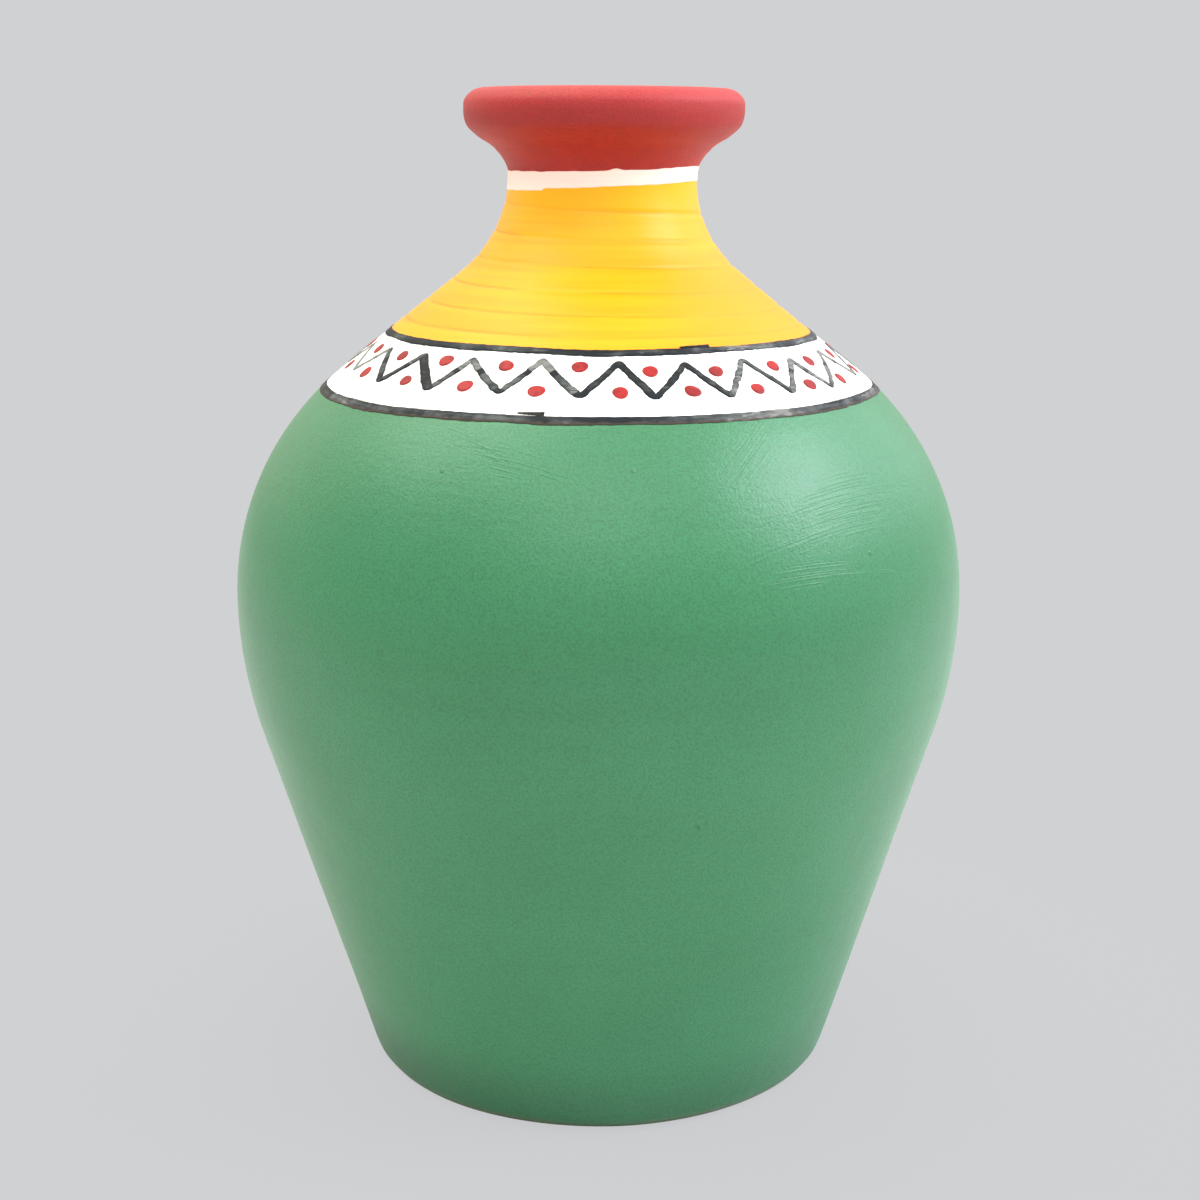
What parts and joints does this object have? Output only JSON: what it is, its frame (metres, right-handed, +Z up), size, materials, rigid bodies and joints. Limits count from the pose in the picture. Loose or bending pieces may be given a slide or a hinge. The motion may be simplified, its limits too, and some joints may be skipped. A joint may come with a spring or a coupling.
{
  "type": "painted clay pot",
  "caption": "Wheel-thrown clay pot with a round belly, narrow neck and flared lip, brush-painted in green, white, yellow and red bands with a zigzag and dots on its shoulder.",
  "frame": {"origin": "middle of the flat base, on the surface the pot stands on", "axes": "+Z up along the pot's axis of turning, -Y towards the side with the front of the pattern"},
  "size_m": [0.1154, 0.1154, 0.155],
  "materials": {
    "clay_body": "bare fired terracotta, matt",
    "green_belly_coat": "satin brush paint",
    "white_shoulder_band": "satin brush paint",
    "yellow_neck_coat": "satin brush paint",
    "white_neck_ring": "satin brush paint",
    "red_rim_coat": "satin brush paint",
    "lower_black_line": "matt brush paint",
    "upper_black_line": "matt brush paint",
    "black_zigzag": "matt brush paint",
    "upper_red_dots": "matt brush paint",
    "lower_red_dots": "matt brush paint"
  },
  "bodies": {
    "root": {"clay_body": "clay_body", "green_belly_coat": "green_belly_coat", "white_shoulder_band": "white_shoulder_band", "yellow_neck_coat": "yellow_neck_coat", "white_neck_ring": "white_neck_ring", "red_rim_coat": "red_rim_coat", "lower_black_line": "lower_black_line", "upper_black_line": "upper_black_line", "black_zigzag": "black_zigzag", "upper_red_dots": "upper_red_dots", "lower_red_dots": "lower_red_dots"}
  },
  "joints": []
}
